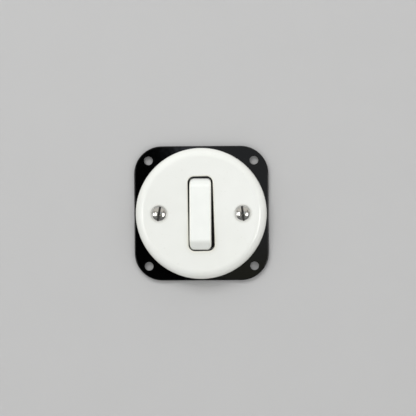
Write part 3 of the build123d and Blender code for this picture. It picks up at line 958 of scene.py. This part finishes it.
def make_card():
    paper = Finish("card_paper")
    x, _, z = paper.axes()

    def patch(left, right, low, high, soft=0.05):
        """A rectangle on the card, with its sides in metres and how soft its edges are."""
        sides = paper.ramp(x, left - soft, left + soft) * paper.ramp(x, right + soft, right - soft)
        above = paper.ramp(z, low - soft, low + soft)
        below = paper.ramp(z, high + soft, high - soft)
        return sides * above * below

    tone = paper.mix(paper.ramp(z, 0.1, 0.7), (0.22, 0.22, 0.21, 1), (0.62, 0.60, 0.55, 1))
    # The middle: grey to the right of a leaning line, with a pale bar in it and duller below
    grey_side = paper.ramp(x + z * 0.33, -0.10, -0.065)
    middle = paper.mix(grey_side, grey(0.0), (0.41, 0.43, 0.45, 1))
    middle = paper.mix(patch(-0.086, -0.062, 0.0, 0.2, 0.012), middle, (0.85, 0.90, 1.05, 1))
    middle = paper.mix(paper.ramp(z, -0.06, -0.12) * grey_side, middle, (0.28, 0.28, 0.21, 1))
    tone = paper.mix(patch(-0.5, 0.5, -0.45, 0.32), tone, middle)
    # The black patches, then the bright strips
    tone = paper.mix(patch(-0.30, 0.22, -1.3, -0.42), tone, grey(0.0))
    tone = paper.mix(patch(1.05, 1.38, 0.45, 0.85), tone, (0.02, 0.0, 0.0, 1))
    tone = paper.mix(patch(-1.75, -1.42, 0.45, 0.80), tone, grey(0.0))
    strips = patch(-1.12, -0.80, -0.50, 0.22) + patch(-1.90, -1.60, -0.60, 0.14)
    strips = strips + patch(0.76, 1.26, -0.62, 0.04)
    return paper.glow(paper.mix(strips, tone, STRIP_LIGHT))


wall = sheet("wall", (3, 3), (0, WALL_GAP * MM, 0), STANDING)
wear(wall, make_backdrop("wall_paint", WALL_COLOUR, one_sided=True))
floor = sheet("floor", (40, 40), (0, 0, FLOOR_Z), LYING)
wear(floor, make_backdrop("floor_paint", FLOOR_COLOUR, one_sided=False))
card = sheet("card", (CARD_WIDTH, 3.0), (0, -CARD_DISTANCE, CARD_Z), STANDING)
wear(card, make_card())
low_card = sheet("low_card", (CARD_WIDTH, 1.0), (0, -LOW_CARD_DISTANCE, LOW_CARD_Z), LYING)
wear(low_card, Finish("low_card_paper").glow(grey(LOW_CARD_LIGHT)))
for flat in (card, low_card):
    for ray in ("camera", "diffuse", "shadow", "transmission", "volume_scatter"):
        setattr(flat, f"visible_{ray}", False)
print("stage ready")

# %% [markdown]
# ## Light
# One large soft light hangs high and a little to the left, which puts the soft shadow under
# the plate. Reflections don't show it, because its mirror image would wash out the glaze. A
# second light behind the wall is for views from there. The world gives most of the light and
# fills the shadows. Together they make a colour come out about as it was written. What the
# camera and reflections see of the world is a duller grey than what it sheds.

# %% Lamps and world
FILL = 0.87
PALE = 0.55


def soft_light(name, location, size, power):
    """A rectangular lamp, aimed at the switch, that the camera doesn't see."""
    data = bpy.data.lights.new(name, "AREA")
    data.shape, data.size, data.size_y, data.energy = "RECTANGLE", size[0], size[1], power
    lamp = bpy.data.objects.new(name, data)
    bpy.context.scene.collection.objects.link(lamp)
    lamp.location = location
    lamp.rotation_euler = (-Vector(location)).to_track_quat("-Z", "Y").to_euler()
    lamp.visible_camera = False
    return lamp


key_light = soft_light("key_light", (-0.45, -1.70, 1.40), size=(1.5, 0.9), power=21.0)
key_light.visible_glossy = False
soft_light("rear_light", (0.7, 1.3, 1.0), size=(1.2, 1.2), power=18.0)

world = bpy.data.worlds.new("studio")
bpy.context.scene.world = world
world.use_nodes = True
world.node_tree.nodes.clear()
path = add_node(world.node_tree, "ShaderNodeLightPath")
camera_ray, glossy_ray, clear_ray = [
    Signal(path.socket.node.outputs[f"Is {kind} Ray"])
    for kind in ("Camera", "Glossy", "Transmission")]
seen = (camera_ray + glossy_ray + clear_ray).at_most(1.0)
sky = add_node(world.node_tree, "ShaderNodeBackground", None,
               {"Color": grey(1.0), "Strength": FILL + seen * (PALE - FILL)})
world_end = world.node_tree.nodes.new("ShaderNodeOutputWorld")
world.node_tree.links.new(sky.socket, world_end.inputs["Surface"])
print("two lamps and a world")

# %% [markdown]
# ## Camera
# The photograph is taken from almost straight ahead with a long lens. The camera stands two
# degrees to the right and a little above, and it is rolled by 0.4 degrees, because the plate
# hangs that little out of true. It looks at a point in the cover, moved to the right and up
# until the switch stands where the photograph has it.

# %% Camera
CAMERA_DISTANCE = 2.0
CAMERA_AZIMUTH = 2.0
CAMERA_ELEVATION = 1.5
CAMERA_ROLL = -0.4
PICTURE_WIDTH = 0.2602
SENSOR = 36.0
AIM_OUT = 0.008
AIM_RIGHT = 0.00428
AIM_UP = 0.00344

azimuth, elevation = radians(CAMERA_AZIMUTH), radians(CAMERA_ELEVATION)
back = Vector((sin(azimuth) * cos(elevation), -cos(azimuth) * cos(elevation), sin(elevation)))
camera_data = bpy.data.cameras.new("camera")
camera_data.sensor_width = SENSOR
camera_data.lens = SENSOR * CAMERA_DISTANCE / PICTURE_WIDTH
camera = bpy.data.objects.new("camera", camera_data)
bpy.context.scene.collection.objects.link(camera)
roll = Matrix.Rotation(radians(CAMERA_ROLL), 3, "Z")
turn = (-back).to_track_quat("-Z", "Y").to_matrix() @ roll
aim = Vector((0, -AIM_OUT, 0)) + turn @ Vector((AIM_RIGHT, AIM_UP, 0))
camera.location = aim + back * CAMERA_DISTANCE
camera.rotation_euler = turn.to_euler()
bpy.context.scene.camera = camera
bpy.context.scene.view_settings.view_transform = "Standard"
print("lens", round(camera_data.lens, 1), "mm")

# %% Nothing left selected
deselect_all()
